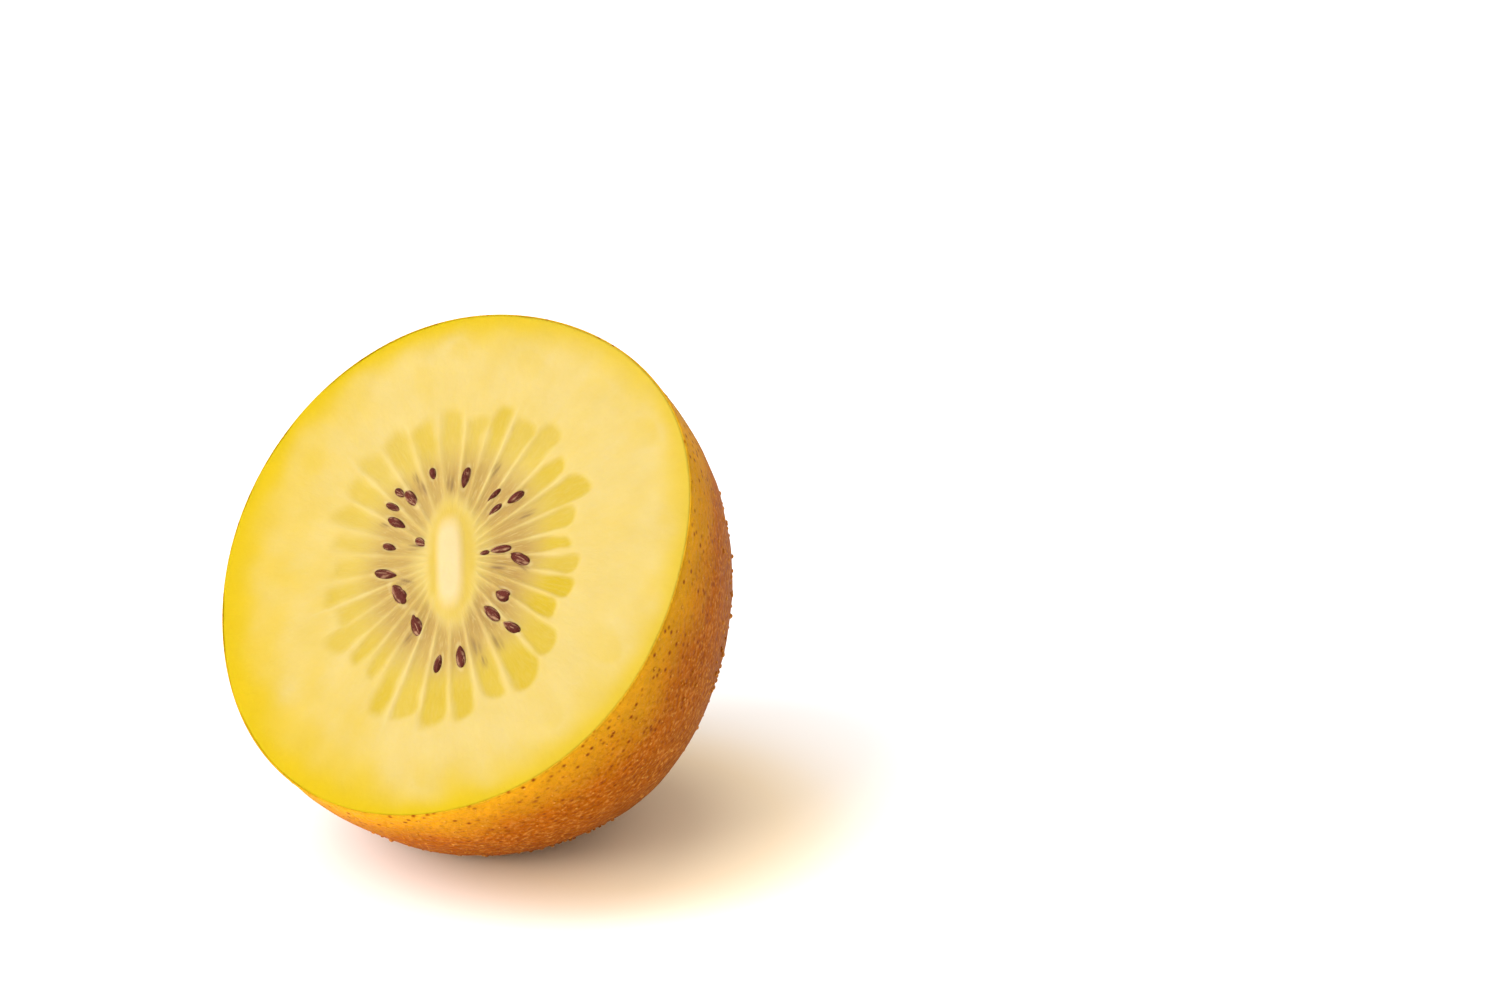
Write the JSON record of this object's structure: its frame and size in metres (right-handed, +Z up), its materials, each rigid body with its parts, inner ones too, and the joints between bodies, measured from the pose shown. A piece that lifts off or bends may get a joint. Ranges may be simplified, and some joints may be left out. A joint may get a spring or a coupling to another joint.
{
  "type": "golden kiwi fruit half",
  "caption": "Half of a ripe golden kiwi fruit, cut across, lying on its skin: golden flesh, pale core, rayed seed chambers, dark seeds, and bumpy skin with a dry calyx at the far end",
  "frame": {"origin": "the middle of the flat spot on the skin that the half rests on", "axes": "+Z up; the cut faces -Y and up, 46 degrees above level; the stalk end points to +Y and down; +X is to the right when looking at the cut"},
  "size_m": [0.0536, 0.0513, 0.0496],
  "materials": {
    "flesh": "satin",
    "skin": "satin",
    "core": "satin",
    "seeds": "satin",
    "calyx": "matte"
  },
  "bodies": {
    "root": {"kiwi_half": "flesh", "dry_calyx": "calyx"}
  },
  "joints": []
}
